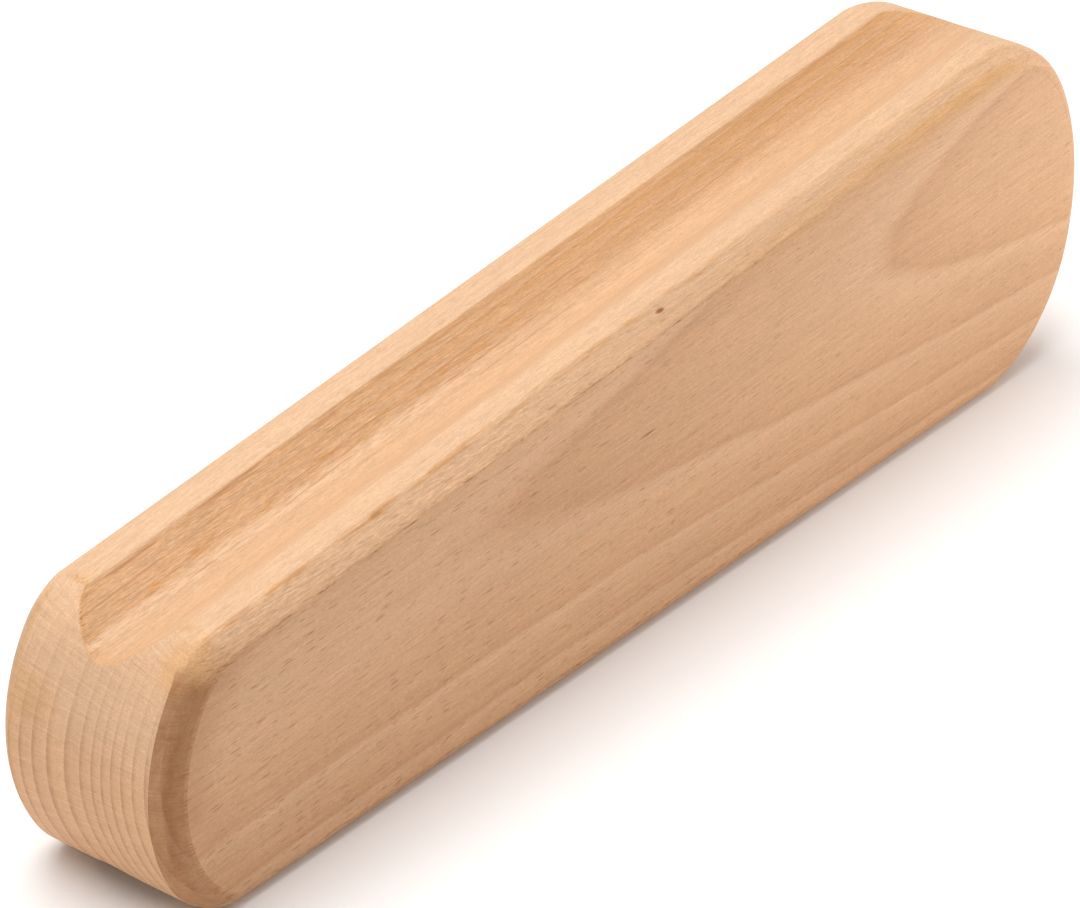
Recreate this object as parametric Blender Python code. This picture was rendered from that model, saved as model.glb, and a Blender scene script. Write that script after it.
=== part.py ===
"""Tailor's clapper: one tapered beech block with rounded ends and a finger groove along each long edge.

The block stands on its lower long edge, with the narrow end at -X, the wide end at +X and the two
pressing faces at -Y and +Y. Units are metres and +Z is up.
"""
import math

import bmesh
import bpy
from mathutils import Matrix, Vector

MM = 0.001

# Blank: a board of even thickness whose two long edges spread evenly from a centre line.
BLOCK_LENGTH = 250.0 * MM       # tip to tip, along the centre line
BLOCK_THICKNESS = 36.0 * MM     # between the two pressing faces
NARROW_WIDTH = 47.6 * MM        # between the long edges, level with the narrow tip
WIDE_WIDTH = 72.4 * MM          # between the long edges, level with the wide tip

# Ends: a shallow arc across each end, and a rounded corner where it turns into a long edge.
NARROW_END_RADIUS = 33.5 * MM
WIDE_END_RADIUS = 46.0 * MM
NARROW_CORNER_RADIUS = 15.6 * MM
WIDE_CORNER_RADIUS = 29.2 * MM
CORNER_BREAK = 0.5 * MM         # the rounding stops this far short of running smoothly into the edge
END_ARC_DROP = 1.1 * MM         # the arcs are centred this far below the centre line

# Edges: the same rounding all the way round both pressing faces.
FACE_ROUNDOVER = 3.8 * MM

# Finger grooves: a round cove with softened lips, the same along both long edges.
GROOVE_DEPTH = 5.4 * MM
GROOVE_COVE_RADIUS = 7.5 * MM
GROOVE_LIP_RADIUS = 5.8 * MM
GROOVE_LIP_ANGLE = math.radians(5.0)    # the lip still falls this steeply where it meets the edge
GROOVE_LIP_CLEARANCE = 0.05 * MM        # the lip's last facet is carried this far past the edge
GROOVE_HEADROOM = 4.0 * MM              # the groove's cutter reaches this far outside the edge
GROOVE_RUNOUT = 12.0 * MM               # and this far past each tip

# Facets
END_ARC_STEPS = 20
CORNER_STEPS = 10
ROUNDOVER_STEPS = 6
COVE_STEPS = 14
LIP_STEPS = 6
SMOOTH_ANGLE = math.radians(22.0)

# Finish
BEECH_COLOUR = (0.640, 0.420, 0.250, 1.0)
BEECH_ROUGHNESS = 0.55

UPPER, LOWER = 1, -1
WIDE, NARROW = 1, -1

# Each long edge leans away from the centre line by this angle.
LEAN = math.atan2((WIDE_WIDTH - NARROW_WIDTH) / 2, BLOCK_LENGTH)


def clear_scene():
    """Take every object out of the scene."""
    for item in list(bpy.data.objects):
        bpy.data.objects.remove(item, do_unlink=True)


def edge_line(side):
    """A point on a long edge, its direction towards the wide end and its normal into the wood."""
    middle = Vector((0.0, side * (NARROW_WIDTH + WIDE_WIDTH) / 4))
    along = Vector((math.cos(LEAN), side * math.sin(LEAN)))
    inward = Vector((math.sin(LEAN), -side * math.cos(LEAN)))
    return middle, along, inward


def end_sizes(end):
    """The arc radius and the corner radius of an end."""
    if end == WIDE:
        return WIDE_END_RADIUS, WIDE_CORNER_RADIUS
    return NARROW_END_RADIUS, NARROW_CORNER_RADIUS


def arc_centre(end):
    """The centre of an end's arc, which touches the tip."""
    radius, _ = end_sizes(end)
    return Vector((end * (BLOCK_LENGTH / 2 - radius), -END_ARC_DROP))


def corner_centre(end, side):
    """The centre of the corner rounding that lies inside both the end's arc and the long edge."""
    radius, corner = end_sizes(end)
    middle, along, inward = edge_line(side)
    reach = middle + inward * (corner - CORNER_BREAK) - arc_centre(end)
    slide = reach.dot(along)
    room = slide * slide - reach.length_squared + (radius - corner) ** 2
    if room <= 0.0:
        raise ValueError("the corner rounding does not fit between the end's arc and the long edge")
    return arc_centre(end) + reach + along * (-slide + end * math.sqrt(room))


def corner_points(end, side, inset):
    """A corner rounding from the long edge to the end's arc, drawn in by an inset."""
    _, corner = end_sizes(end)
    _, along, inward = edge_line(side)
    centre = corner_centre(end, side)
    radius = corner - inset
    outward = (centre - arc_centre(end)).normalized()
    start = math.acos((radius - CORNER_BREAK) / radius)
    stop = math.atan2(outward.dot(along) * end, outward.dot(-inward))
    points = []
    for step in range(CORNER_STEPS + 1):
        angle = start + (stop - start) * step / CORNER_STEPS
        points.append(centre + radius * (along * (end * math.sin(angle)) - inward * math.cos(angle)))
    return points


def end_points(end, inset):
    """One end from the upper long edge round to the lower one."""
    radius, _ = end_sizes(end)
    upper = corner_points(end, UPPER, inset)
    lower = corner_points(end, LOWER, inset)
    centre = arc_centre(end)
    first = upper[-1] - centre
    last = lower[-1] - centre
    start = math.atan2(first.y, end * first.x)
    stop = math.atan2(last.y, end * last.x)
    arc = []
    for step in range(1, END_ARC_STEPS):
        angle = start + (stop - start) * step / END_ARC_STEPS
        arc.append(centre + (radius - inset) * Vector((end * math.cos(angle), math.sin(angle))))
    return upper + arc + lower[::-1]


def outline(inset):
    """The block's closed outline across a pressing face, drawn in by an inset."""
    return end_points(WIDE, inset) + end_points(NARROW, inset)[::-1]


def standing():
    """The placing that lays the lower long edge level on the ground, midway along the X axis."""
    turn = Matrix.Rotation(-LEAN, 4, "Y")
    xs = [(turn @ Vector((point.x, 0.0, point.y))).x for point in outline(0.0)]
    lift = (NARROW_WIDTH + WIDE_WIDTH) / 4 * math.cos(LEAN)
    return Matrix.Translation((-(min(xs) + max(xs)) / 2, 0.0, lift)) @ turn


def thickness_stations():
    """Each outline's place through the thickness, with the inset that the roundover gives it."""
    front = []
    for step in range(ROUNDOVER_STEPS + 1):
        angle = math.pi / 2 * step / ROUNDOVER_STEPS
        depth = FACE_ROUNDOVER * (1 - math.cos(angle))
        front.append((depth - BLOCK_THICKNESS / 2, FACE_ROUNDOVER * (1 - math.sin(angle))))
    return front + [(-y, inset) for y, inset in reversed(front)]


def loft(name, loops):
    """A closed solid skinned over loops of equal length, capped at both ends."""
    shape = bmesh.new()
    rows = [[shape.verts.new(point) for point in loop] for loop in loops]
    count = len(rows[0])
    for row, following in zip(rows, rows[1:]):
        for index in range(count):
            beside = (index + 1) % count
            shape.faces.new((row[index], row[beside], following[beside], following[index]))
    shape.faces.new(rows[0])
    shape.faces.new(rows[-1])
    bmesh.ops.recalc_face_normals(shape, faces=shape.faces)
    mesh = bpy.data.meshes.new(name)
    shape.to_mesh(mesh)
    shape.free()
    solid = bpy.data.objects.new(name, mesh)
    bpy.context.scene.collection.objects.link(solid)
    return solid


def make_blank(placing):
    """The tapered, round-ended block with its roundovers, before the grooves are cut."""
    loops = []
    for y, inset in thickness_stations():
        loops.append([placing @ Vector((point.x, y, point.y)) for point in outline(inset)])
    return loft("clapper_block", loops)


def groove_profile():
    """Half of the groove's section, from its floor to outside the edge, as (sideways, depth) pairs."""
    reach = GROOVE_COVE_RADIUS + GROOVE_LIP_RADIUS
    turn = math.acos(1 - GROOVE_DEPTH / reach)
    half_width = reach * math.sin(turn)
    half = []
    for step in range(COVE_STEPS // 2 + 1):
        angle = turn * step / (COVE_STEPS // 2)
        half.append((GROOVE_COVE_RADIUS * math.sin(angle),
                     GROOVE_DEPTH - GROOVE_COVE_RADIUS * (1 - math.cos(angle))))
    for step in range(1, LIP_STEPS + 1):
        angle = turn + (GROOVE_LIP_ANGLE - turn) * step / LIP_STEPS
        half.append((half_width - GROOVE_LIP_RADIUS * math.sin(angle),
                     GROOVE_LIP_RADIUS * (1 - math.cos(angle))))
    sideways, depth = half[-1]
    rise = depth + GROOVE_LIP_CLEARANCE
    rim = sideways + rise / math.tan(GROOVE_LIP_ANGLE)
    return half + [(rim, -GROOVE_LIP_CLEARANCE), (rim, -GROOVE_HEADROOM)]


def make_groove_cutter(side, placing):
    """A bar with the groove's section that runs along one long edge and out past both tips."""
    middle, along, inward = edge_line(side)
    half = groove_profile()
    section = [(-sideways, depth) for sideways, depth in reversed(half[1:])] + half
    loops = []
    for end in (NARROW, WIDE):
        base = middle + along * (end * (BLOCK_LENGTH / 2 + GROOVE_RUNOUT))
        loop = []
        for sideways, depth in section:
            point = base + inward * depth
            loop.append(placing @ Vector((point.x, sideways, point.y)))
        loops.append(loop)
    return loft("groove_cutter", loops)


def cut(solid, cutter):
    """Take a cutter's volume out of a solid."""
    modifier = solid.modifiers.new("groove", "BOOLEAN")
    modifier.operation = "DIFFERENCE"
    modifier.solver = "EXACT"
    modifier.object = cutter
    graph = bpy.context.evaluated_depsgraph_get()
    result = bpy.data.meshes.new_from_object(solid.evaluated_get(graph))
    result.name = solid.name
    solid.modifiers.clear()
    solid.data = result
    bpy.data.objects.remove(cutter, do_unlink=True)


def beech():
    """Pale beech, sanded and left bare."""
    material = bpy.data.materials.new("beech")
    material.use_nodes = True
    shader = material.node_tree.nodes["Principled BSDF"]
    shader.inputs["Base Color"].default_value = BEECH_COLOUR
    shader.inputs["Roughness"].default_value = BEECH_ROUGHNESS
    shader.inputs["Metallic"].default_value = 0.0
    return material


def main():
    """Build the clapper block."""
    clear_scene()
    placing = standing()
    block = make_blank(placing)
    for side in (UPPER, LOWER):
        cut(block, make_groove_cutter(side, placing))
    block.data.materials.clear()
    block.data.materials.append(beech())
    for face in block.data.polygons:
        face.use_smooth = True
    block.data.set_sharp_from_angle(angle=SMOOTH_ANGLE)


main()
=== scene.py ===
"""Looks of a tailor's clapper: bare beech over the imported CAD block, on a pale studio floor.

The block stands on its lower long edge, with the narrow end at -X, the wide end at +X and the two
pressing faces at -Y and +Y. Sizes are in metres. The wood's figure is laid out in millimetres on
axes of its own: u along the block's centre line, y through its thickness and w across its width.
"""
import math
from collections import namedtuple

import bmesh
import bpy
from bpy.props import FloatProperty, FloatVectorProperty, PointerProperty
from bpy.types import Operator, Panel, PropertyGroup
from mathutils import Matrix, Vector


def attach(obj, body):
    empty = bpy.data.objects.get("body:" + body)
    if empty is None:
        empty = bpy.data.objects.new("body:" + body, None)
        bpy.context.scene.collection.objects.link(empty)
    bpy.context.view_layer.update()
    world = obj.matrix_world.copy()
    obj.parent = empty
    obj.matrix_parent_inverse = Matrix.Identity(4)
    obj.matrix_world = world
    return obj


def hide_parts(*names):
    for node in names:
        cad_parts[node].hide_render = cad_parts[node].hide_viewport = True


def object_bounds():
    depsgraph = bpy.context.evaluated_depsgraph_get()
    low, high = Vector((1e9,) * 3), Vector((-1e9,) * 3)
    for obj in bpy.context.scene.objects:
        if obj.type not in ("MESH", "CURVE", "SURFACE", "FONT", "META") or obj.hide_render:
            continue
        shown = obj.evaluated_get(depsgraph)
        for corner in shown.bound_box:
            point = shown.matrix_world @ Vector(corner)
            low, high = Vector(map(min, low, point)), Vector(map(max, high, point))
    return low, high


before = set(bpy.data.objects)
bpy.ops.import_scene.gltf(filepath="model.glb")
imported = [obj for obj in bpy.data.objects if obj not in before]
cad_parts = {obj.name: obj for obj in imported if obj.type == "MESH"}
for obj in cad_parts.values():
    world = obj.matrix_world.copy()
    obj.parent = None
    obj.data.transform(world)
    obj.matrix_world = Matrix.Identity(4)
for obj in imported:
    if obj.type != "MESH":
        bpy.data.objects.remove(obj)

bl_info = {
    "name": "Tailor's Clapper",
    "version": (1, 0, 0),
    "blender": (4, 5, 0),
    "location": "3D View > Sidebar > Clapper",
    "description": "Builds a tailor's clapper of bare beech and the studio that it stands in",
    "category": "Object",
}

MM = 0.001
CAD_LOW, CAD_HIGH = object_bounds()
CAD_MIDDLE = (CAD_LOW + CAD_HIGH) / 2

UPPER, LOWER = 1, -1
WIDE, NARROW = 1, -1

# How finely the block is divided.
LONG_EDGE_POINTS = 60
END_POINTS = 44
ARRIS_POINTS = 5
CORNER_GAPS = (0.35 * MM, 0.8 * MM, 1.4 * MM, 2.2 * MM)
TURNING = [1.0, 0.9, 0.6, 0.2]
BEND_STEPS = 4
RIM_STEPS = 3
GROOVE_STEP = 0.3 * MM
FLAT_MARGIN = 0.8 * MM
HALVINGS = 48
SHARP_ANGLE = math.radians(9.0)

# An outline counts as long edge or as end by how far its normal points along the block.
EDGE_NORMAL, END_NORMAL = 0.17, 0.74

# Sections of the front roundings: how far the crease's bend and the knee's bend reach along what they
# join, as shares of it, and how the narrow end's bow leaves the face and is pulled towards its edge.
CREASE_SHARE = 0.16
KNEE_SHARES = (0.14, 0.22)
BOW_START = 0.98
BOW_PULL = (0.12, 0.25)

# The tree that the wood grew in, in millimetres on the wood's own axes.
PITH_HEIGHT = 2.7       # the tree's middle lies this far above the centre line
PITH_LEAN = -0.5        # and its height changes this much for each millimetre towards the back
RISE_START = -20.0      # it starts to come nearer about here along the block
RISE_BEND = 50.0        # bends over about this length
RISE_SLOPE = 0.018      # and then comes nearer twice this fast
RING_SWAY = 0.5         # how far the rings waver
CROWD_DEPTH = 17.5      # the rings crowd together up to this depth and spread out past it
CROWD_REACH = 6.5       # over about this reach each way
CROWD_AMOUNT = 2.5      # by up to this much
FIRST_RING = 0.495      # shifts all the rings together

# Bands on a groove's back wall, in millimetres. Each stands for one of the cutter's hollow passes, and its
# shade is painted into it.
BAND_WIDTH = 2.2
BAND_START = 2.0        # one starts about this far behind the groove's middle, halfway along the block
BAND_SLANT = 0.0125     # the bands run this far back for each millimetre towards the wide end
BAND_SWAY = 0.8

# Ranges that several patterns fade over, and how far the browning fades out over the face.
SIDE_GRAIN = (0.35, 0.15)
NARROW_HALF = (0.0, -60.0)
HALO_REACH = 9.0
TINY = 1e-4             # keeps a division away from zero

# Finish of the wood.
SPECULAR = 0.22
RAY_GLOSS = 0.35        # how much smoother the rays' sides are
RELIEF_STRENGTH = 0.5
RELIEF_DEPTH = 0.10 * MM

# Studio lights in metres: where each stands and what it is aimed at, from the block's middle, and its size.
Light = namedtuple("Light", "place aim size")
OVERHEAD = Light((-0.10, 0.21, 1.10), (0.0, 0.0, 0.0), (1.4, 1.0))
BESIDE = Light((0.30, -0.20, 0.02), (0.10, 0.0, 0.0), (0.24, 0.08))
FLOOR_REACH = 6.0
FLOOR_ROUGHNESS = 0.9
SENSOR_WIDTH = 36.0

# Small dark marks in the wood, in millimetres on its own axes: place, reach each way, and strength.
MARKS = (
    ((-6.5, -18.0, 9.0), (2.8, 1.5, 0.30), 0.9),
    ((0.1, -15.8, 28.6), (1.5, 0.8, 0.45), 1.0),
    ((-71.1, -14.9, 25.9), (2.0, 0.8, 0.45), 0.45),
    ((-75.0, -18.0, 10.0), (1.6, 1.5, 0.45), 0.35),
    ((-103.0, -18.0, 6.7), (1.6, 1.5, 0.45), 0.30),
)

# Golden stains on the narrow end and on the front knee, given in the same way.
STAINS = (
    ((-123.0, 11.0, 10.5), (9.0, 7.0, 6.0), 0.40),
    ((-114.5, -14.5, 21.5), (8.0, 5.5, 6.5), 0.60),
    ((-71.1, -14.9, 25.9), (3.0, 1.2, 0.7), 0.80),
)


def length_setting(name, description, default):
    """A length that a user may change."""
    return FloatProperty(name=name, description=description, default=default, unit="LENGTH")


def colour_setting(name, description, default):
    """A colour that a user may change."""
    return FloatVectorProperty(name=name, description=description, default=default,
                               subtype="COLOR", size=3, min=0.0, max=1.0)


class ClapperSizes(PropertyGroup):
    """Sizes of the block."""

    length: length_setting("Length", "Tip to tip, along the centre line", 250.0 * MM)
    thickness: length_setting("Thickness", "Between the two pressing faces", CAD_HIGH.y - CAD_LOW.y)
    narrow_width: length_setting(
        "Narrow width", "Between the long edges, level with the narrow tip", 47.6 * MM)
    wide_width: length_setting("Wide width", "Between the long edges, level with the wide tip", 72.4 * MM)
    narrow_end_radius: length_setting(
        "Narrow end radius", "Radius of the arc across the narrow end", 33.5 * MM)
    wide_end_radius: length_setting("Wide end radius", "Radius of the arc across the wide end", 46.0 * MM)
    narrow_corner_radius: length_setting(
        "Narrow corner radius", "Rounding where the narrow end turns into a long edge", 15.6 * MM)
    wide_corner_radius: length_setting(
        "Wide corner radius", "Rounding where the wide end turns into a long edge", 29.2 * MM)
    corner_break: length_setting(
        "Corner break", "How far short of the long edge a corner's rounding stops", 0.5 * MM)
    end_arc_drop: length_setting(
        "End arc drop", "How far below the centre line the end arcs are centred", 1.1 * MM)
    face_inset: length_setting(
        "Face inset", "How far the front rounding reaches over its pressing face", 4.7 * MM)
    facet_width: length_setting(
        "Facet width", "How far the front upper edge's flat facet reaches over the face", 3.75 * MM)
    facet_reach: length_setting("Facet reach", "How far the facet reaches over the rim", 3.45 * MM)
    rim_fall: length_setting("Rim fall", "How far the rim falls towards the facet", 0.25 * MM)
    rim_reach: length_setting("Rim reach", "How far from the front face the rim starts to fall", 6.1 * MM)
    lower_radius: length_setting(
        "Lower radius", "Rounding of the front pressing face's lower long edge", 3.4 * MM)
    end_reach: length_setting(
        "End reach", "How far the front rounding reaches over the end grain", 3.8 * MM)
    back_radius: length_setting(
        "Back radius", "Rounding all the way round the back pressing face", 3.8 * MM)
    back_break: FloatProperty(
        name="Back break", description="Angle that the back's rounding keeps to the surfaces beside it",
        default=math.radians(5.0), subtype="ANGLE")
    groove_depth: length_setting("Groove depth", "Depth of a finger groove in the middle", 5.4 * MM)
    groove_mouth: length_setting(
        "Groove mouth", "From a groove's middle to where its walls would meet the rim", 9.75 * MM)
    wall_angle: FloatProperty(
        name="Wall angle", description="Slope of a finger groove's walls",
        default=math.radians(36.0), subtype="ANGLE")
    front_lip: length_setting("Front lip", "Radius of a groove's front lip", 2.6 * MM)
    back_lip: length_setting("Back lip", "Radius of a groove's back lip", 0.7 * MM)


class BeechLook(PropertyGroup):
    """Colours and figure of the wood."""

    heart: colour_setting("Wood", "The wood between the rings' edges", (0.715, 0.408, 0.218))
    early_wood: colour_setting(
        "Early wood", "Pale wood at the start of a year's ring", (0.750, 0.446, 0.252))
    late_wood: colour_setting(
        "Late wood", "Pinkish wood at the end of a year's ring", (0.672, 0.368, 0.190))
    ring_line: colour_setting(
        "Ring line", "The dark line at a ring's end on the end grain", (0.520, 0.255, 0.120))
    ray_dark: colour_setting(
        "Ray ends", "Rays where a pressing face cuts across them", (0.335, 0.132, 0.052))
    ray_pale: colour_setting("Ray sides", "Rays where a long edge cuts along them", (0.850, 0.590, 0.390))
    scorch: colour_setting("Scorch", "End grain browned by the cutter", (0.325, 0.130, 0.042))
    # Also used for painted shade in the bands on a groove's back wall.
    burnish: colour_setting("Burnish", "Golden wood where the cutter rubbed", (0.660, 0.345, 0.140))
    # A paler wood colour, laid most on the rims and on the ends' upper part.
    sanded: colour_setting(
        "Sanded wood", "Paler wood of the long edges and of the ends' upper part", (0.700, 0.500, 0.330))
    roughness: FloatProperty(
        name="Roughness", description="Roughness of the sanded wood", default=0.55, min=0.0, max=1.0)
    ring_width: FloatProperty(
        name="Ring width", description="Usual width of a year's ring, in millimetres", default=2.6)
    pith_distance: FloatProperty(
        name="Pith distance", description="From the front face to the tree's middle, in millimetres",
        default=100.0)


class StageLook(PropertyGroup):
    """Floor, lights and camera."""

    floor_colour: colour_setting("Floor colour", "Colour of the studio floor", (0.97, 0.97, 0.97))
    sky_strength: FloatProperty(
        name="Sky strength", description="Brightness of the even light from all around", default=0.40)
    key_power: FloatProperty(
        name="Key power", description="Power of the broad light overhead, in watts", default=15.8)
    fill_power: FloatProperty(
        name="Fill power", description="Power of the light beside the wide end, in watts", default=0.34)
    lens: FloatProperty(
        name="Lens", description="Focal length of the camera, in millimetres", default=153.9)
    azimuth: FloatProperty(
        name="Azimuth", description="Camera's bearing round the block",
        default=math.radians(-51.34), subtype="ANGLE")
    elevation: FloatProperty(
        name="Elevation", description="Camera's height above the horizon",
        default=math.radians(30.09), subtype="ANGLE")
    distance: length_setting("Distance", "Camera's distance from what it looks at", 780.0 * MM)
    look_offset: FloatVectorProperty(
        name="Look offset", description="What the camera looks at, from the block's middle",
        default=(-7.3 * MM, 4.7 * MM, -8.2 * MM), subtype="TRANSLATION", size=3)


def lean(sizes):
    """The angle by which each long edge leans away from the centre line."""
    return math.atan2((sizes.wide_width - sizes.narrow_width) / 2, sizes.length)


def standing(sizes):
    """The placing that lays the lower long edge level on the ground, midway between the CAD's two tips."""
    lift = (sizes.narrow_width + sizes.wide_width) / 4 * math.cos(lean(sizes))
    turn = Matrix.Rotation(-lean(sizes), 4, "Y")
    ends = [turn @ Vector((point.x, 0.0, point.y)) for point in slice_outline(sizes).points]
    middle = (min(end.x for end in ends) + max(end.x for end in ends)) / 2
    return Matrix.Translation((CAD_MIDDLE.x - middle, CAD_MIDDLE.y, CAD_LOW.z + lift)) @ turn


class EndCurve:
    """One end of the block's outline, drawn in by an inset: three arcs from the upper edge to the lower.

    It is worked out as if the end pointed towards +u, and mirrored back for the narrow end.
    """

    def __init__(self, sizes, end, inset):
        if end == WIDE:
            radius, corner = sizes.wide_end_radius, sizes.wide_corner_radius
        else:
            radius, corner = sizes.narrow_end_radius, sizes.narrow_corner_radius
        self.end = end
        self.lean = end * lean(sizes)
        self.half_width = (sizes.narrow_width + sizes.wide_width) / 4
        centre = Vector((sizes.length / 2 - radius, -sizes.end_arc_drop))
        upper = self.corner_centre(UPPER, centre, radius, corner, sizes.corner_break)
        lower = self.corner_centre(LOWER, centre, radius, corner, sizes.corner_break)
        square = math.pi / 2 + self.lean
        top = math.atan2(upper.y - centre.y, upper.x - centre.x)
        bottom = math.atan2(lower.y - centre.y, lower.x - centre.x)
        self.arcs = ((upper, corner - inset, square, top),
                     (centre, radius - inset, top, bottom),
                     (lower, corner - inset, bottom, -square))
        self.length = sum(reach * (start - stop) for _, reach, start, stop in self.arcs)

    def edge(self, side):
        """A point on a long edge, its direction towards the tip and its normal into the wood."""
        middle = Vector((0.0, side * self.half_width))
        along = Vector((math.cos(self.lean), side * math.sin(self.lean)))
        inward = Vector((math.sin(self.lean), -side * math.cos(self.lean)))
        return middle, along, inward

    def corner_centre(self, side, arc_centre, radius, corner, corner_break):
        """The centre of the rounding that lies inside both the end's arc and a long edge."""
        middle, along, inward = self.edge(side)
        reach = middle + inward * (corner - corner_break) - arc_centre
        slide = reach.dot(along)
        room = slide * slide - reach.length_squared + (radius - corner) ** 2
        if room <= 0.0:
            raise ValueError("a corner's rounding does not fit between the end's arc and the long edge")
        return arc_centre + reach + along * (math.sqrt(room) - slide)

    def spot(self, distance):
        """The point that lies a distance along the curve, with the end pointing towards +u."""
        for centre, radius, start, stop in self.arcs:
            length = radius * (start - stop)
            if distance <= length:
                break
            distance -= length
        else:
            distance += length
        angle = start - distance / radius
        return centre + radius * Vector((math.cos(angle), math.sin(angle)))

    def point(self, distance):
        """The same point on the block itself."""
        spot = self.spot(distance)
        return Vector((self.end * spot.x, spot.y))

    def meets(self, side, depth):
        """How far along the curve it lies a given depth below a long edge, or where it starts if lower."""
        middle, _, inward = self.edge(side)
        shallow, deep = (0.0, self.length / 2) if side == UPPER else (self.length, self.length / 2)
        for _ in range(HALVINGS):
            halfway = (shallow + deep) / 2
            if (self.spot(halfway) - middle).dot(inward) < depth:
                shallow = halfway
            else:
                deep = halfway
        return (shallow + deep) / 2


Outline = namedtuple("Outline", "points turning")


def spread(length, count):
    """Distances along a stretch of outline: close together by its two corners and even in between."""
    first, last = CORNER_GAPS[-1], length - CORNER_GAPS[-1]
    even = [first + (last - first) * step / count for step in range(1, count)]
    return list(CORNER_GAPS) + even + [length - gap for gap in reversed(CORNER_GAPS)]


def slice_outline(sizes, depth=0.0, inset=0.0):
    """The block's outline in one slice across its thickness, clockwise from the narrow end's upper corner.

    A depth lowers both long edges, as the grooves do, and an inset draws the whole outline in. The
    corners between ends and long edges are eased, and marked as turning on the long edges' side.
    """
    wide, narrow = EndCurve(sizes, WIDE, inset), EndCurve(sizes, NARROW, inset)
    wide_top, wide_foot = wide.meets(UPPER, depth), wide.meets(LOWER, depth)
    narrow_top, narrow_foot = narrow.meets(UPPER, depth), narrow.meets(LOWER, depth)
    corners = (narrow.point(narrow_top), wide.point(wide_top),
               wide.point(wide_foot), narrow.point(narrow_foot))

    def straight(start, stop):
        length = (stop - start).length
        return [start.lerp(stop, gap / length) for gap in spread(length, LONG_EDGE_POINTS)]

    def round_end(curve, start, stop):
        gaps = spread(abs(stop - start), END_POINTS)
        return [curve.point(start + math.copysign(gap, stop - start)) for gap in gaps]

    runs = (straight(corners[0], corners[1]),
            round_end(wide, wide_top, wide_foot),
            straight(corners[2], corners[3]),
            round_end(narrow, narrow_foot, narrow_top))
    points, turning = [], []
    for index, run in enumerate(runs):
        following, corner = runs[(index + 1) % 4], corners[(index + 1) % 4]
        is_end = index % 2 == 1
        points += run
        if is_end:
            turning += [0.0] * len(run)
        else:
            turning += TURNING + [0.0] * (len(run) - 2 * len(TURNING)) + TURNING[::-1]
        for step in range(1, ARRIS_POINTS + 1):
            part = step / (ARRIS_POINTS + 1)
            points.append(run[-1].lerp(corner, part).lerp(corner.lerp(following[0], part), part))
            turning.append(part if is_end else 1 - part)
    return Outline(points, turning)


def ease(value, start, stop):
    """A smooth change from 0 to 1 while a value goes from start to stop."""
    part = min(max((value - start) / (stop - start), 0.0), 1.0)
    return part * part * (3 - 2 * part)


def bend(start, corner, stop, steps):
    """Points of a smooth bend from start to stop that rounds a corner."""
    parts = [step / steps for step in range(steps + 1)]
    return [start.lerp(corner, part).lerp(corner.lerp(stop, part), part) for part in parts]


def facet_section(sizes):
    """The front upper edge's rounding, from face to rim: a flat facet between a soft crease and a knee.

    Each point is how deep it lies below the face, and its share of the face's inset.
    """
    inset = sizes.face_inset - sizes.corner_break
    face = Vector((0.0, 1.0))
    crease = Vector((0.0, sizes.facet_width / inset))
    knee = Vector((sizes.facet_reach, sizes.rim_fall / inset))
    rim = Vector((sizes.rim_reach, 0.0))
    low = bend(face, crease, crease.lerp(knee, CREASE_SHARE), BEND_STEPS)
    high = bend(knee.lerp(crease, KNEE_SHARES[0]), knee, knee.lerp(rim, KNEE_SHARES[1]), BEND_STEPS)
    return low + [low[-1].lerp(high[0], 0.5)] + high + [high[-1].lerp(rim, 0.5), rim]


def bow_section(sizes, count):
    """The front rounding of the narrow end: a bow that leaves the face softly and ends at an edge."""
    face = Vector((0.0, BOW_START))
    middle = Vector((sizes.end_reach * BOW_PULL[0], BOW_PULL[1]))
    rim = Vector((sizes.end_reach, 0.0))
    return bend(face, middle, rim, count - 1)


def round_section(sizes, radius, edge_break, count):
    """A quarter round, or nearly one if it keeps an angle to the surfaces beside it."""
    share = radius / (sizes.face_inset - sizes.corner_break)
    first, last = edge_break, math.pi / 2 - edge_break
    size = 1 / (math.cos(first) - math.cos(last))
    points = []
    for step in range(count):
        angle = first + (last - first) * step / (count - 1)
        points.append(Vector((radius * size * (math.cos(first) - math.cos(angle)),
                              share * size * (math.sin(last) - math.sin(angle)))))
    return points


def rounding_loops(sizes, upper_section, lower_section, narrow_section, wide_section):
    """Loops from the front pressing face over its rounding to the rim."""
    outer = slice_outline(sizes).points
    inner = slice_outline(sizes, inset=sizes.face_inset).points
    loops = [[] for _ in upper_section]
    neighbours = zip(inner[-1:] + inner[:-1], inner[1:] + inner[:1])
    for outside, inside, (before, after) in zip(outer, inner, neighbours):
        run = (after - before).normalized()
        endness = ease(abs(run.y), EDGE_NORMAL, END_NORMAL)
        edge_section = upper_section if outside.y > 0.0 else lower_section
        end_section = wide_section if outside.x > 0.0 else narrow_section
        for loop, on_edge, on_end in zip(loops, edge_section, end_section):
            depth, share = on_edge.lerp(on_end, endness)
            spot = outside.lerp(inside, share)
            loop.append(Vector((spot.x, depth - sizes.thickness / 2, spot.y)))
    return loops


def rim_loops(last, groove_edge):
    """Loops from a rounding's last one across the rim to the groove."""
    loops = []
    for step in range(1, RIM_STEPS):
        loops.append([spot.lerp(Vector((spot.x, groove_edge, spot.z)), step / RIM_STEPS) for spot in last])
    return loops


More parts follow.
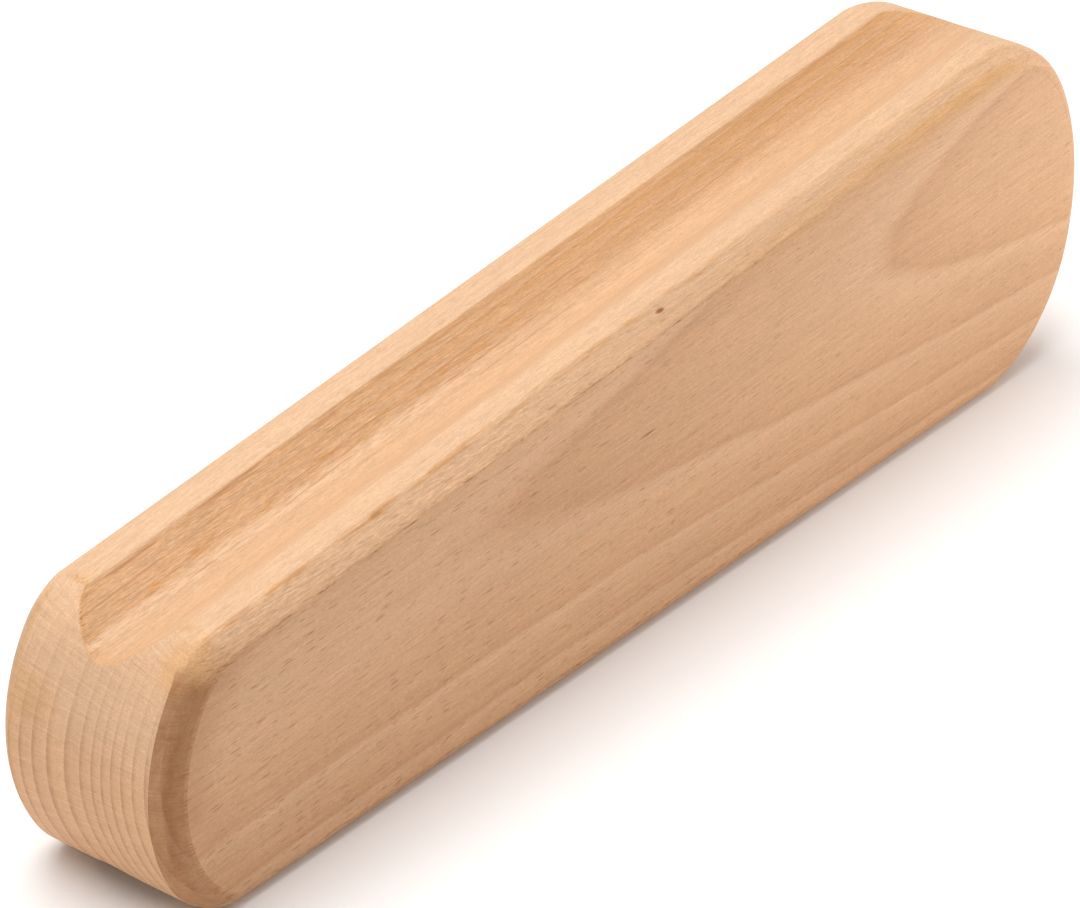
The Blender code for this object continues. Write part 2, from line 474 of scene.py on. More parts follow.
class Groove:
    """A finger groove's section: a round floor, straight walls, a soft front lip and a crisp back one."""

    def __init__(self, sizes):
        self.depth, self.mouth, self.angle = sizes.groove_depth, sizes.groove_mouth, sizes.wall_angle
        self.lips = {-1: sizes.front_lip, 1: sizes.back_lip}
        spare = self.mouth * math.sin(self.angle) - self.depth * math.cos(self.angle)
        self.cove = spare / (1 - math.cos(self.angle))
        if not 0.0 < self.cove * math.sin(self.angle) < self.lip_start(1) <= self.lip_stop(1):
            raise ValueError("the groove's floor and lips leave no room for its walls")

    def lip_start(self, side):
        """Where a wall turns into its lip."""
        return self.lip_stop(side) - self.lips[side] * math.sin(self.angle)

    def lip_stop(self, side):
        """Where a lip runs into the rim."""
        return self.mouth + self.lips[side] * math.tan(self.angle / 2)

    def depth_at(self, y):
        """How deep the groove is, a distance from its middle."""
        sideways, side = abs(y), 1 if y > 0.0 else -1
        if sideways < self.cove * math.sin(self.angle):
            return self.depth - self.cove + math.sqrt(self.cove ** 2 - sideways ** 2)
        if sideways < self.lip_start(side):
            return (self.mouth - sideways) * math.tan(self.angle)
        reach = max(self.lip_stop(side) - sideways, 0.0)
        return self.lips[side] - math.sqrt(self.lips[side] ** 2 - reach ** 2)

    def stations(self):
        """Where the groove is sliced, from lip to lip, with the lips' own slices."""
        front, back = -self.lip_stop(-1), self.lip_stop(1)
        count = math.ceil((back - self.lip_start(1)) / GROOVE_STEP) + BEND_STEPS
        lip = [self.lip_start(1) + (back - self.lip_start(1)) * step / count for step in range(count + 1)]
        count = math.ceil((lip[0] - front) / GROOVE_STEP)
        return [front + (lip[0] - front) * step / count for step in range(count)] + lip


def block_loops(sizes):
    """The loops round the block: those of the front rounding, of the rims and grooves, and of the back."""
    groove = Groove(sizes)
    facet = facet_section(sizes)
    front = rounding_loops(sizes, facet, round_section(sizes, sizes.lower_radius, 0.0, len(facet)),
                           bow_section(sizes, len(facet)),
                           round_section(sizes, sizes.end_reach, 0.0, len(facet)))
    round_back = round_section(sizes, sizes.back_radius, sizes.back_break, len(facet))
    back = [[Vector((spot.x, -spot.y, spot.z)) for spot in loop]
            for loop in rounding_loops(sizes, round_back, round_back, round_back, round_back)]
    middle = rim_loops(front[-1], -groove.lip_stop(-1))
    for y in groove.stations():
        points = slice_outline(sizes, groove.depth_at(y)).points
        middle.append([Vector((point.x, y, point.y)) for point in points])
    middle += reversed(rim_loops(back[-1], groove.lip_stop(1)))
    return front, middle, back[::-1]


def build_block(sizes):
    """The tapered block as a stack of loops that are bridged, with its two pressing faces filled in."""
    placing = standing(sizes)
    amounts = slice_outline(sizes).turning
    front, middle, back = block_loops(sizes)
    shape = bmesh.new()
    turning = shape.verts.layers.float.new("turning")
    rings = []
    for loops, weight in ((front, 0.0), (middle, 1.0), (back, 0.0)):
        for loop in loops:
            corners = [shape.verts.new(placing @ spot) for spot in loop]
            for corner, amount in zip(corners, amounts):
                corner[turning] = amount * weight
            rings.append([shape.edges.new(pair) for pair in zip(corners, corners[1:] + corners[:1])])
    for ring, following in zip(rings, rings[1:]):
        bmesh.ops.bridge_loops(shape, edges=ring + following)
    for ring in (rings[0], rings[-1]):
        flat = bmesh.ops.edgeloop_fill(shape, edges=ring)["faces"]
        bmesh.ops.inset_individual(shape, faces=flat, thickness=FLAT_MARGIN, use_even_offset=True)
    bmesh.ops.recalc_face_normals(shape, faces=shape.faces)
    for face in shape.faces:
        face.smooth = True
    mesh = bpy.data.meshes.new("beech_block")
    shape.to_mesh(mesh)
    shape.free()
    mesh.set_sharp_from_angle(angle=SHARP_ANGLE)
    block = bpy.data.objects.new("beech_block", mesh)
    bpy.context.scene.collection.objects.link(block)
    return block


class Nodes:
    """Adds shader nodes to a material and wires each one as it is made."""

    def __init__(self, material):
        material.use_nodes = True
        self.tree = material.node_tree
        self.shader = self.tree.nodes["Principled BSDF"]

    def feed(self, socket, value):
        """Wire a socket to another node's output, or set its own value."""
        if isinstance(value, bpy.types.NodeSocket):
            self.tree.links.new(value, socket)
        elif socket.type == "RGBA" and len(value) == 3:
            socket.default_value = (*value, 1.0)
        else:
            socket.default_value = value

    def add(self, kind, **settings):
        """A node of a kind, with its settings."""
        node = self.tree.nodes.new(kind)
        for name, value in settings.items():
            setattr(node, name, value)
        return node

    def math(self, operation, *values):
        """What an operation makes of one, two or three values."""
        node = self.add("ShaderNodeMath", operation=operation)
        for socket, value in zip(node.inputs, values):
            self.feed(socket, value)
        return node.outputs[0]

    def times(self, first, *others):
        """Several values multiplied together."""
        for other in others:
            first = self.math("MULTIPLY", first, other)
        return first

    def between(self, amount, low, high):
        """A value that goes from low to high as an amount goes from 0 to 1."""
        return self.math("MULTIPLY_ADD", amount, high - low, low)

    def distance(self, first, second):
        """How far away a point is that lies one length one way and another length square to it."""
        return self.math("SQRT", self.math("MULTIPLY_ADD", first, first, self.times(second, second)))

    def combine(self, x, y, z):
        """A vector of three values."""
        node = self.add("ShaderNodeCombineXYZ")
        for socket, value in zip(node.inputs, (x, y, z)):
            self.feed(socket, value)
        return node.outputs[0]

    def separate(self, vector):
        """The three values of a vector."""
        node = self.add("ShaderNodeSeparateXYZ")
        self.feed(node.inputs[0], vector)
        return node.outputs[0], node.outputs[1], node.outputs[2]

    def stretch(self, *axes):
        """A vector from three (value, length) pairs, which grows by one over each length."""
        return self.combine(*(self.times(value, 1 / length) for value, length in axes))

    def fade(self, value, start, stop, low=0.0, high=1.0):
        """A smooth change from low to high while a value goes from start to stop."""
        node = self.add("ShaderNodeMapRange", interpolation_type="SMOOTHSTEP")
        for socket, number in zip(node.inputs, (value, start, stop, low, high)):
            self.feed(socket, number)
        return node.outputs[0]

    def noise(self, vector, detail=2.0, roughness=0.5):
        """Cloudy noise from 0 to 1, one unit of the vector across."""
        node = self.add("ShaderNodeTexNoise", noise_dimensions="3D")
        self.feed(node.inputs["Vector"], vector)
        for name, value in (("Scale", 1.0), ("Detail", detail), ("Roughness", roughness)):
            node.inputs[name].default_value = value
        return node.outputs[0]

    def cells(self, vector):
        """The distance to the nearest of many scattered points, and a random number for that point."""
        node = self.add("ShaderNodeTexVoronoi", voronoi_dimensions="3D", feature="F1")
        self.feed(node.inputs["Vector"], vector)
        node.inputs["Scale"].default_value = 1.0
        split = self.add("ShaderNodeSeparateColor")
        self.feed(split.inputs[0], node.outputs["Color"])
        return node.outputs["Distance"], split.outputs[0]

    def ramp(self, value, *stops):
        """Colours at places along a value, blended in between."""
        node = self.add("ShaderNodeValToRGB")
        self.feed(node.inputs[0], value)
        elements = node.color_ramp.elements
        while len(elements) < len(stops):
            elements.new(0.5)
        for element, (place, colour) in zip(elements, stops):
            element.position = place
            element.color = (*colour, 1.0)
        return node.outputs[0]

    def mix(self, amount, first, second):
        """Two colours blended by an amount."""
        node = self.add("ShaderNodeMix", data_type="RGBA", blend_type="MIX")
        self.feed(node.inputs[0], amount)
        self.feed(node.inputs[6], first)
        self.feed(node.inputs[7], second)
        return node.outputs[2]

    def vary(self, pattern, amount):
        """A tone that swings round 1 with a pattern from 0 to 1."""
        return self.math("MULTIPLY_ADD", self.math("SUBTRACT", pattern, 0.5), amount, 1.0)

    def shade(self, colour, tone):
        """A colour made lighter or darker by a tone."""
        node = self.add("ShaderNodeMix", data_type="RGBA", blend_type="MULTIPLY")
        node.inputs[0].default_value = 1.0
        self.feed(node.inputs[6], colour)
        self.feed(node.inputs[7], self.combine(tone, tone, tone))
        return node.outputs[2]


class Wood(Nodes):
    """The shader nodes of a wood, which know where the shaded point lies in it.

    They give its place u, y and w in millimetres, its distance and way round from the tree's middle, its
    season in its year's ring, how squarely the surface faces each of the wood's axes, and whether it
    counts as end grain, as a pressing face or as a long edge.
    """

    def __init__(self, material, sizes, look):
        super().__init__(material)
        self.u, self.y, self.w = self.axes(sizes)
        self.radius, self.around = self.from_pith(sizes, look)
        self.season = self.find_season(look)
        self.end_on, self.face_on, self.edge_on = self.facing()
        self.is_end = self.fade(self.end_on, 0.40, 0.52)
        self.is_face = self.fade(self.face_on, 0.5, 0.95)
        self.is_edge = self.fade(self.edge_on, 0.4, 0.9)

    def axes(self, sizes):
        """The wood's own u, y and w."""
        turn = Matrix.Rotation(lean(sizes), 3, "Y")
        origin = standing(sizes).translation
        place = self.add("ShaderNodeTexCoord")
        axes = self.add("ShaderNodeMapping", vector_type="POINT")
        self.feed(axes.inputs["Vector"], place.outputs["Object"])
        axes.inputs["Scale"].default_value = (1 / MM, 1 / MM, 1 / MM)
        axes.inputs["Rotation"].default_value = (0.0, lean(sizes), 0.0)
        axes.inputs["Location"].default_value = -(turn @ origin) / MM
        return self.separate(axes.outputs[0])

    def facing(self):
        """How squarely the surface faces along the block, through its thickness and across its width."""
        surface = self.add("ShaderNodeNewGeometry")
        return [self.math("ABSOLUTE", part) for part in self.separate(surface.outputs["Normal"])]

    def from_pith(self, sizes, look):
        """The distance and way round from the tree's middle, which comes nearer towards the wide end."""
        drift = self.math("SUBTRACT", self.u, RISE_START)
        rise = self.times(self.math("ADD", drift, self.distance(drift, RISE_BEND)), RISE_SLOPE)
        front = look.pith_distance + sizes.thickness / 2 / MM
        out = self.math("SUBTRACT", self.math("ADD", self.y, front), rise)
        across = self.math("SUBTRACT", self.w, self.math("MULTIPLY_ADD", self.y, PITH_LEAN, PITH_HEIGHT))
        bearing = self.math("ARCTAN2", self.math("SUBTRACT", self.w, PITH_HEIGHT), out)
        return self.distance(out, across), self.times(bearing, look.pith_distance)

    def find_season(self, look):
        """The place in a year's ring, from 0 where it starts to 1 where it ends."""
        sway = self.noise(self.stretch((self.u, 40.0), (self.y, 14.0), (self.w, 12.0)), detail=3.0)
        depth = self.math("SUBTRACT", self.radius, look.pith_distance)
        depth = self.math("ADD", depth, self.math("MULTIPLY_ADD", sway, RING_SWAY, -RING_SWAY / 2))
        crowd = self.times(self.math("SUBTRACT", depth, CROWD_DEPTH), 1 / CROWD_REACH)
        crowd = self.math("POWER", math.e, self.times(crowd, crowd, -1.0))
        year = self.math("MULTIPLY_ADD", crowd, CROWD_AMOUNT, self.math("ADD", depth, FIRST_RING))
        return self.math("FRACT", self.times(year, 1 / look.ring_width))

    def fibrous(self, along, across, detail=2.0, roughness=0.5):
        """Noise drawn out along the fibres, with its length along them and its width across them."""
        place = self.stretch((self.u, along), (self.y, across), (self.w, across))
        return self.noise(place, detail, roughness)

    def ring_place(self, along, outward, sideways):
        """A place that follows the rings: along the block, outwards through them and sideways round them."""
        return self.stretch((self.u, along), (self.radius, outward), (self.around, sideways))


def ring_colour(wood, look):
    """The year's rings: faint pale and pinkish bands on the sides, and fine dark lines on the end grain."""
    heart, early, late = Vector(look.heart), Vector(look.early_wood), Vector(look.late_wood)
    line = Vector(look.ring_line)
    turn = early.lerp(late, 0.5)
    soft = wood.ramp(wood.season, (0.0, turn), (0.05, early), (0.32, heart), (0.70, heart.lerp(late, 0.4)),
                     (0.90, late), (0.955, late.lerp(line, 0.15)), (1.0, turn))
    fine = wood.ramp(wood.season, (0.0, early), (0.20, heart), (0.60, heart.lerp(late, 0.5)),
                     (0.88, line), (0.95, line), (1.0, early))
    calm = wood.mix(wood.fade(wood.edge_on, 0.45, 0.8, 0.05, 0.70), soft, heart)
    worn = wood.noise(wood.ring_place(4.0, 2.5, 2.0))
    clear = wood.times(wood.fade(wood.w, 19.0, 8.0, 0.08, 0.80), wood.fade(worn, 0.3, 0.6, 0.45, 1.0))
    return wood.mix(wood.times(wood.is_end, clear), calm, fine)


def grain_tone(wood, fibre):
    """Light and dark of the grain: slow clouds, long streaks, fine fibres and the end grain's fine rays."""
    cloud = wood.noise(wood.ring_place(70.0, 5.0, 16.0))
    streak = wood.fibrous(40.0, 0.7, detail=3.0, roughness=0.6)
    grain = wood.fibrous(0.8, 0.22, detail=1.0)
    ray_line = wood.noise(wood.ring_place(6.0, 7.0, 0.26))
    return wood.times(wood.vary(cloud, 0.16), wood.vary(streak, 0.22),
                      wood.vary(grain, wood.between(wood.is_end, 0.38, 0.42)),
                      wood.vary(fibre, wood.between(wood.is_end, 0.44, 0.05)),
                      wood.vary(ray_line, wood.times(wood.is_end, 0.40)))


def surface_tone(wood):
    """Light and dark of each surface: torn wood is uneven, and painted shade darkens the grooves and the
    pressing faces, these most towards the narrow end.
    """
    fuzz = wood.fibrous(2.2, 0.28, detail=1.0)
    torn = wood.math("MAXIMUM", back_wall(wood, 1.0, 4.0), front_facet(wood))
    torn = wood.times(torn, wood.fade(wood.u, 30.0, -70.0, 0.10, 0.55))
    # Painted shade: the grooves' floors and lower walls are darkened, as shade in the hollow.
    groove_painted_shade = wood.times(wood.is_edge, wood.fade(wood.math("ABSOLUTE", wood.y), 8.0, 2.0))
    # Painted shade: the pressing faces are darkened, most at the narrow end, for the light that reaches them
    # less.
    face_painted_shade = wood.times(wood.is_face, wood.fade(wood.u, -110.0, 60.0, -0.085, -0.055))
    return wood.times(wood.vary(fuzz, torn), wood.between(groove_painted_shade, 1.0, 0.94),
                      wood.math("ADD", face_painted_shade, 1.0))


def rays(wood, along, outward, sideways, reach):
    """Thin sheets of ray cells that stand outwards through the rings, each with a strength of its own."""
    near, chance = wood.cells(wood.ring_place(along, outward, sideways))
    return wood.times(wood.fade(near, reach, reach * 0.45), wood.fade(chance, 0.25, 1.0, 0.05, 1.0))


def ray_ends(wood, dash, stroke):
    """Where rays end on a pressing face: loose flocks of dashes, with longer strokes between them."""
    flock = wood.fibrous(14.0, 5.0)
    ends = wood.math("MAXIMUM", wood.times(dash, wood.fade(flock, 0.40, 0.60, 0.55, 1.0)), stroke)
    return wood.times(ends, wood.is_face, wood.fade(wood.u, -60.0, 60.0, 0.75, 0.42))


def mark(wood, place, reach):
    """A small mark in the wood: 1 in its middle and 0 outside its reach."""
    apart = [wood.times(wood.math("SUBTRACT", value, middle), 1 / size)
             for value, middle, size in zip((wood.u, wood.y, wood.w), place, reach)]
    length = wood.add("ShaderNodeVectorMath", operation="LENGTH")
    wood.feed(length.inputs[0], wood.combine(*apart))
    return wood.fade(length.outputs["Value"], 1.0, 0.3)


def scorch_amount(wood):
    """Where the cutter browned the narrow end's rounding: most of all along the middle of the front one."""
    rounded = wood.times(wood.fade(wood.face_on, 0.9985, 0.96), wood.fade(wood.face_on, 0.20, 0.34))
    outer = wood.fade(wood.math("ABSOLUTE", wood.math("SUBTRACT", wood.w, 1.0)), 5.0, 15.0, 0.78, 1.0)
    across = wood.times(wood.fade(wood.face_on, 0.60, 0.70, outer, 1.0),
                        wood.fade(wood.face_on, 0.76, 0.985, 1.05, 0.68))
    endwise = wood.times(wood.end_on, wood.end_on)
    sidewise = wood.times(wood.edge_on, wood.edge_on)
    endwise = wood.math("DIVIDE", endwise, wood.math("ADD", wood.math("ADD", endwise, sidewise), TINY))
    patchy = wood.noise(wood.stretch((wood.u, 4.0), (wood.y, 1.2), (wood.w, 3.0)), detail=4.0, roughness=0.6)
    place = wood.times(wood.fade(wood.u, -60.0, -100.0), wood.fade(wood.y, 0.0, -8.0, 0.32, 1.0),
                       wood.fade(wood.w, -15.0, -8.0, 0.74, 1.0), wood.fade(wood.w, 20.0, 8.0, 0.82, 1.0))
    return wood.times(rounded, across, wood.fade(endwise, 0.14, 0.60), place, wood.vary(patchy, 0.8), 0.76)


def scorch_halo(wood, sizes):
    """Where the browning fades out over the front pressing face beside the narrow end, in streaks."""
    along = wood.math("ADD", wood.u, (sizes.length / 2 - sizes.narrow_end_radius) / MM)
    across = wood.math("ADD", wood.w, sizes.end_arc_drop / MM)
    edge = (sizes.narrow_end_radius - sizes.face_inset) / MM
    near = wood.fade(wood.distance(along, across), edge - HALO_REACH, edge)
    streak = wood.noise(wood.stretch((wood.u, 9.0), (wood.y, 2.0), (wood.w, 1.1)), detail=3.0, roughness=0.6)
    front = wood.times(wood.is_face, wood.fade(wood.y, -15.0, -17.5), wood.fade(wood.u, -90.0, -98.0),
                       wood.fade(wood.w, -6.0, -1.0, 0.45, 1.30))
    return wood.times(front, near, wood.vary(streak, 1.6), 0.24)


def back_wall(wood, start, full):
    """A groove's back wall, growing from nothing at one distance behind its middle to all at another."""
    inside = wood.times(wood.fade(wood.y, start, full), wood.fade(wood.y, 9.8, 9.3))
    return wood.times(inside, wood.fade(wood.edge_on, 0.5, 0.7), wood.fade(wood.end_on, 0.16, 0.10))


def groove_bands(wood):
    """Bands along a groove's back wall, each golden at one side: from 0 to 1 across a band. Each stands for a
    hollow pass of the cutter, whose shade is painted.
    """
    sway = wood.noise(wood.stretch((wood.u, 60.0), (wood.y, 4.0), (wood.w, 30.0)))
    place = wood.math("MULTIPLY_ADD", sway, BAND_SWAY, wood.y)
    place = wood.math("MULTIPLY_ADD", wood.u, -BAND_SLANT, place)
    return wood.math("FRACT", wood.times(wood.math("SUBTRACT", place, BAND_START), 1 / BAND_WIDTH))


def front_strip(wood, start, full, fall, stop):
    """A strip along the front's long edges, picked by how squarely it faces the front."""
    front = wood.times(wood.fade(wood.y, -12.0, -14.0), wood.fade(wood.end_on, *SIDE_GRAIN))
    return wood.times(front, wood.fade(wood.face_on, start, full), wood.fade(wood.face_on, stop, fall))


def front_crease(wood):
    """The crease between the front pressing face and the roundings along its long edges."""
    return front_strip(wood, 0.74, 0.90, 0.98, 0.998)


def front_facet(wood):
    """Those roundings themselves, of which the upper one is a flat facet."""
    return front_strip(wood, 0.30, 0.50, 0.92, 0.98)


def front_knee(wood, sizes):
    """A soft line along the knee between those roundings and the rims beside them."""
    knee = (sizes.thickness / 2 - sizes.facet_reach) / MM
    apart = wood.math("ABSOLUTE", wood.math("ADD", wood.y, knee))
    return wood.times(wood.fade(apart, 0.85, 0.10), wood.fade(wood.end_on, *SIDE_GRAIN))


def edge_depth(wood, sizes):
    """How far the shaded point lies below the upper long edge, in millimetres."""
    middle = (sizes.narrow_width + sizes.wide_width) / 4 / MM
    height = wood.math("MULTIPLY_ADD", wood.u, math.tan(lean(sizes)), middle)
    return wood.math("SUBTRACT", height, wood.w)


def wall_burnish_and_shade(wood, band):
    """A groove's back wall, golden in bands, with golden patches halfway up it towards the narrow end. The
    golden bands are partly real burnish and partly painted shade of the cutter's hollow passes.
    """
    # Painted shade: each band gets darker and more golden up the wall, as a hollow pass steepens, then breaks
    # off at the next.
    golden = wood.times(wood.fade(band, 0.0, 0.85, 0.5, 1.2), wood.fade(band, 1.0, 0.93, 0.4, 1.0))
    wall = wood.times(back_wall(wood, 1.0, 8.0), golden, wood.fade(wood.u, -120.0, 60.0, 0.28, 0.68))
    patch = wood.fade(wood.fibrous(8.0, 1.3, detail=3.0, roughness=0.6), 0.46, 0.62)
    strip = wood.times(back_wall(wood, 3.0, 4.4), wood.fade(wood.y, 6.4, 5.0))
    return wood.math("MAXIMUM", wall, wood.times(strip, patch, wood.fade(wood.u, 40.0, -40.0, 0.0, 0.95)))


def burnished_crease(wood, sizes):
    """The front crease and the pressing face just below it, golden most of all towards the wide end."""
    glow = wood.times(wood.fade(edge_depth(wood, sizes), 7.0, 4.0), wood.fade(wood.y, -16.0, -17.0),
                      wood.fade(wood.u, -20.0, 70.0))
    crease = wood.math("MAXIMUM", wood.times(front_crease(wood), 0.8), glow)
    uneven = wood.fibrous(22.0, 2.0, detail=3.0)
    return wood.times(crease, wood.vary(uneven, 1.4), wood.fade(wood.u, -100.0, 90.0, 0.15, 0.62))


def burnished_knee(wood, sizes):
    """The front knee, golden in patches and most of all towards the narrow end."""
    patch = wood.fade(wood.fibrous(6.0, 1.2, detail=3.0), 0.42, 0.62)
    return wood.times(front_knee(wood, sizes), patch, wood.fade(wood.u, 50.0, -30.0, 0.30, 0.85))


def burnish_and_shade_amount(wood, band, sizes):
    """Where the cutter rubbed the wood golden: a groove's back wall, the front crease and the front knee. On
    the back wall it also paints the shade of the cutter's hollow passes.
    """
    front = wood.math("MAXIMUM", burnished_crease(wood, sizes), burnished_knee(wood, sizes))
    return wood.math("MAXIMUM", wall_burnish_and_shade(wood, band), front)


def end_arris(wood):
    """The edge where an end turns into a long edge. It shows at the narrow end, and hardly at the wide."""
    turning = wood.add("ShaderNodeAttribute", attribute_type="GEOMETRY", attribute_name="turning")
    return wood.times(turning.outputs["Fac"], wood.fade(wood.u, *NARROW_HALF, 0.12, 1.0))


def frayed_arris(wood, arris):
    """Dark frayed fibres on that edge, behind the groove's middle."""
    frayed = wood.fade(wood.fibrous(0.9, 0.30), 0.50, 0.68)
    return wood.times(arris, wood.fade(wood.y, -1.0, 3.0), frayed, 0.65)


def back_arris(wood):
    """The edge where the narrow end turns into its back rounding."""
    arris = wood.times(wood.fade(wood.face_on, 0.02, 0.08), wood.fade(wood.face_on, 0.36, 0.20))
    place = wood.times(wood.is_end, wood.fade(wood.y, 8.0, 12.0), wood.fade(wood.u, *NARROW_HALF))
    return wood.times(arris, place, 0.55)


def torn_strip(wood):
    """Pale torn fibres low on a groove's back wall, towards the narrow end."""
    torn = wood.fade(wood.fibrous(2.8, 0.45, detail=4.0, roughness=0.65), 0.36, 0.64)
    strip = wood.times(back_wall(wood, 1.2, 2.4), wood.fade(wood.y, 4.4, 3.2))
    return wood.times(strip, torn, wood.fade(wood.u, 0.0, -50.0), 0.62)


def broken(wood):
    """Long lines that break off and start again."""
    return wood.fade(wood.fibrous(12.0, 0.5, detail=3.0, roughness=0.6), 0.42, 0.60)


def dark_lines(wood, band, sizes):
    """Broken dark lines: between the groove's bands, along its back lip and along the front knee. Those
    between the bands are painted shade at the top of each hollow pass.
    """
    on_wall = back_wall(wood, 0.2, 1.2)
    # Painted shade at the top of each hollow pass.
    seam = wood.times(on_wall, wood.fade(band, 0.80, 0.94), wood.fade(band, 1.0, 0.98))
    lip = wood.times(on_wall, wood.fade(wood.y, 8.3, 8.9))
    lines = wood.math("MULTIPLY_ADD", lip, 0.55, wood.times(seam, 0.80))
    lines = wood.times(lines, wood.fade(wood.u, 50.0, -40.0, 0.40, 1.0))
    knee = wood.times(front_knee(wood, sizes), wood.fade(wood.u, 30.0, -40.0, 0.20, 0.55))
    return wood.times(wood.math("MINIMUM", wood.math("ADD", lines, knee), 1.0), broken(wood))


def crease_tears(wood):
    """Short dark tears that the cutter left along the front crease, with few of them at the wide end."""
    short = wood.fade(wood.fibrous(3.2, 0.36, detail=3.0, roughness=0.6), 0.54, 0.64, 0.0, 0.80)
    tears = wood.math("MAXIMUM", short, wood.times(broken(wood), 0.25))
    return wood.times(front_crease(wood), tears, wood.fade(wood.u, 50.0, 15.0, 0.15, 1.0))


def paler_amount(wood):
    """Where the wood is paler: the rims most, then the grooves' floors and the ends' upper part."""
    front = wood.fade(wood.y, -1.0, -12.0, 0.0, 0.20)
    back = wood.fade(wood.y, 9.2, 10.2, 0.0, 0.24)
    on_edge = wood.times(wood.is_edge, wood.math("ADD", wood.math("ADD", front, back), 0.24))
    on_end = wood.times(wood.is_end, wood.fade(wood.w, 0.0, 14.0, 0.05, 0.42))
    return wood.math("MAXIMUM", on_edge, on_end)


def beech(sizes, look):
    """Bare sanded beech: year rings, and over them rays, burnish, painted shade in the grooves and on the
    faces, tears, browned end grain and marks.
    """
    material = bpy.data.materials.new("bare_beech")
    wood = Wood(material, sizes, look)
    fibre = wood.fibrous(9.0, 0.20, detail=1.0)
    tone = wood.times(grain_tone(wood, fibre), surface_tone(wood))
    golden = wood.shade(look.burnish, tone)
    dash = rays(wood, 4.0, 11.0, 0.40, 0.28)
    stroke = rays(wood, 6.0, 9.0, 0.50, 0.26)
    ray_sides = wood.times(dash, wood.is_edge, 0.12)
    band = groove_bands(wood)
    arris = end_arris(wood)

    def spots(marks, stain):
        return [(wood.times(mark(wood, place, reach), strength), stain)
                for place, reach, strength in marks]

    coats = [
        # Paler wood on the rims, the grooves' floors and the ends' upper part.
        (paler_amount(wood), wood.shade(look.sanded, tone)),
        (ray_ends(wood, dash, stroke), look.ray_dark),
        (ray_sides, look.ray_pale),
        (wood.times(stroke, wood.is_edge, 0.22), look.ring_line),
        # Golden burnish, with painted shade of the cutter's passes on a groove's back wall.
        (burnish_and_shade_amount(wood, band, sizes), golden),
        (wood.times(arris, 0.55), golden),
        *spots(STAINS, golden),
        (torn_strip(wood), look.ray_pale),
        (frayed_arris(wood, arris), look.ray_dark),
        (back_arris(wood), golden),
        (dark_lines(wood, band, sizes), look.ring_line),
        (crease_tears(wood), look.ray_dark),
        (scorch_amount(wood), wood.shade(look.scorch, tone)),
        (scorch_halo(wood, sizes), look.scorch),
        *spots(MARKS, look.scorch),
    ]
    colour = wood.shade(ring_colour(wood, look), tone)
    for amount, coat in coats:
        colour = wood.mix(amount, colour, coat)

    wood.feed(wood.shader.inputs["Base Color"], colour)
    roughness = wood.math("MULTIPLY_ADD", ray_sides, -RAY_GLOSS, look.roughness)
    wood.feed(wood.shader.inputs["Roughness"], roughness)
    wood.shader.inputs["Specular IOR Level"].default_value = SPECULAR
    relief = wood.add("ShaderNodeBump")
    relief.inputs["Strength"].default_value = RELIEF_STRENGTH
    relief.inputs["Distance"].default_value = RELIEF_DEPTH
    wood.feed(relief.inputs["Height"], wood.math("SUBTRACT", fibre, dash))
    wood.feed(wood.shader.inputs["Normal"], relief.outputs[0])
    return material


class CLAPPER_OT_block(Operator):
    """Build the beech block over its CAD node"""

    bl_idname = "clapper.block"
    bl_label = "Beech Block"

    def execute(self, context):
        scene = context.scene
        block = build_block(scene.clapper_sizes)
        block.data.materials.append(beech(scene.clapper_sizes, scene.clapper_beech))
        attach(block, "root")
        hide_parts("clapper_block")
        return {"FINISHED"}


def make_floor(look):
    """A wide pale floor under the block."""
    shape = bmesh.new()
    bmesh.ops.create_grid(shape, x_segments=1, y_segments=1, size=FLOOR_REACH)
    bmesh.ops.translate(shape, verts=shape.verts, vec=(0.0, 0.0, CAD_LOW.z))
    mesh = bpy.data.meshes.new("studio_floor")
    shape.to_mesh(mesh)
    shape.free()
    floor = bpy.data.objects.new("studio_floor", mesh)
    bpy.context.scene.collection.objects.link(floor)
    material = bpy.data.materials.new("floor_paint")
    nodes = Nodes(material)
    nodes.feed(nodes.shader.inputs["Base Color"], look.floor_colour)
    nodes.shader.inputs["Roughness"].default_value = FLOOR_ROUGHNESS
    mesh.materials.append(material)


def make_light(name, setting, power):
    """A broad soft light, placed and aimed from the block's middle."""
    data = bpy.data.lights.new(name, "AREA")
    data.shape = "RECTANGLE"
    data.size, data.size_y = setting.size
    data.energy = power
    light = bpy.data.objects.new(name, data)
    light.location = CAD_MIDDLE + Vector(setting.place)
    light.rotation_mode = "QUATERNION"
    light.rotation_quaternion = (Vector(setting.aim) - Vector(setting.place)).to_track_quat("-Z", "Y")
    bpy.context.scene.collection.objects.link(light)


def make_sky(look):
    """Even white light from all around."""
    world = bpy.data.worlds.new("studio_air")
    world.use_nodes = True
    background = world.node_tree.nodes["Background"]
    background.inputs["Color"].default_value = (1.0, 1.0, 1.0, 1.0)
    background.inputs["Strength"].default_value = look.sky_strength
    bpy.context.scene.world = world


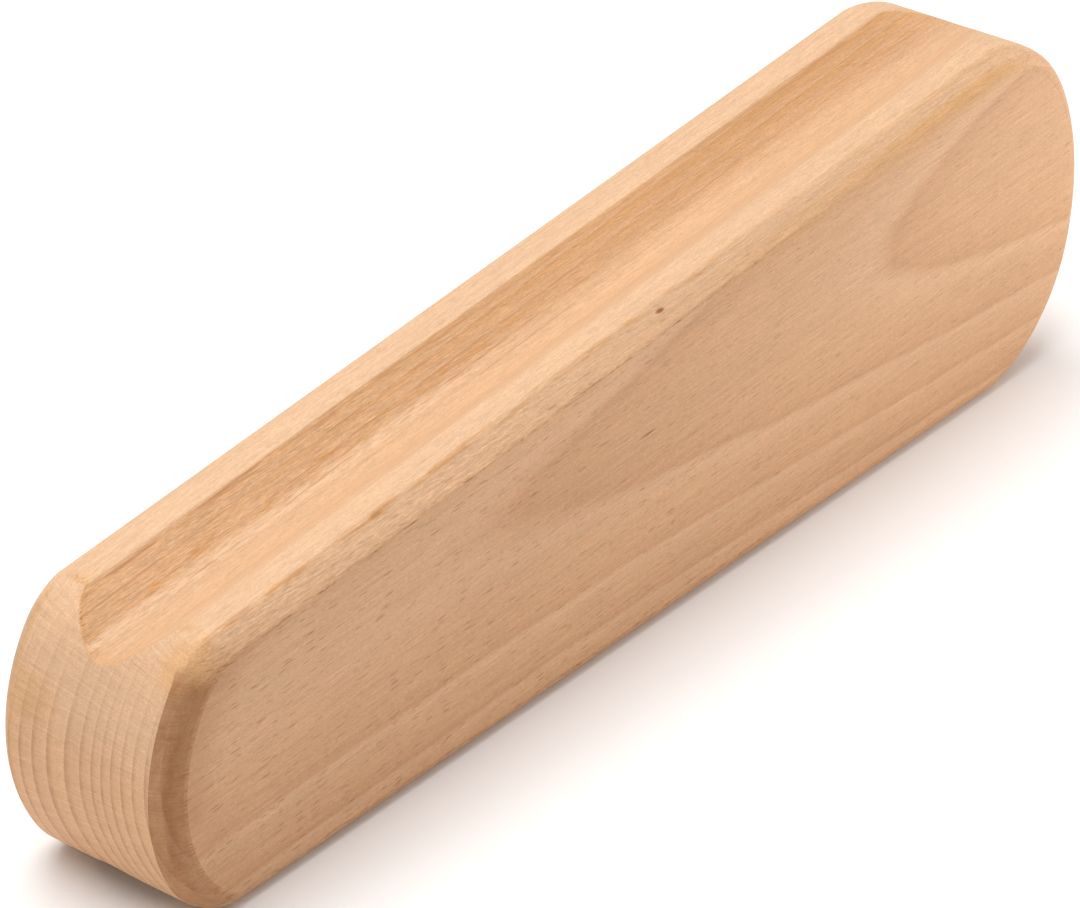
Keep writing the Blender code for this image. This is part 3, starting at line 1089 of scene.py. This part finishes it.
def make_camera(look):
    """The camera at the photograph's viewing angle."""
    data = bpy.data.cameras.new("studio_camera")
    data.sensor_width = SENSOR_WIDTH
    data.lens = look.lens
    camera = bpy.data.objects.new("studio_camera", data)
    back = Vector((math.sin(look.azimuth) * math.cos(look.elevation),
                   -math.cos(look.azimuth) * math.cos(look.elevation),
                   math.sin(look.elevation)))
    camera.location = CAD_MIDDLE + Vector(look.look_offset) + back * look.distance
    camera.rotation_mode = "QUATERNION"
    camera.rotation_quaternion = (-back).to_track_quat("-Z", "Y")
    bpy.context.scene.collection.objects.link(camera)
    bpy.context.scene.camera = camera


class CLAPPER_OT_stage(Operator):
    """Lay the floor and set up the light and the camera"""

    bl_idname = "clapper.stage"
    bl_label = "Studio Stage"

    def execute(self, context):
        look = context.scene.clapper_stage
        make_floor(look)
        make_sky(look)
        make_light("overhead", OVERHEAD, look.key_power)
        make_light("beside", BESIDE, look.fill_power)
        make_camera(look)
        context.scene.view_settings.view_transform = "Standard"
        return {"FINISHED"}


class CLAPPER_PT_sidebar(Panel):
    """Buttons and settings in the 3D view's sidebar"""

    bl_idname = "CLAPPER_PT_sidebar"
    bl_label = "Tailor's Clapper"
    bl_space_type = "VIEW_3D"
    bl_region_type = "UI"
    bl_category = "Clapper"

    def draw(self, context):
        scene = context.scene
        for operator, settings in ((CLAPPER_OT_block, (scene.clapper_sizes, scene.clapper_beech)),
                                   (CLAPPER_OT_stage, (scene.clapper_stage,))):
            box = self.layout.box()
            box.operator(operator.bl_idname)
            for group in settings:
                for name in group.__annotations__:
                    box.prop(group, name)


CLASSES = (ClapperSizes, BeechLook, StageLook, CLAPPER_OT_block, CLAPPER_OT_stage, CLAPPER_PT_sidebar)
SETTINGS = {"clapper_sizes": ClapperSizes, "clapper_beech": BeechLook, "clapper_stage": StageLook}


def register():
    """Register the classes and hang their settings on the scene."""
    for item in CLASSES:
        bpy.utils.register_class(item)
    for name, group in SETTINGS.items():
        setattr(bpy.types.Scene, name, PointerProperty(type=group))


def unregister():
    """Take the settings and the classes away again."""
    for name in SETTINGS:
        delattr(bpy.types.Scene, name)
    for item in reversed(CLASSES):
        bpy.utils.unregister_class(item)


def main():
    """Build the clapper and its stage."""
    register()
    bpy.ops.clapper.block()
    bpy.ops.clapper.stage()


if __name__ == "__main__":
    main()
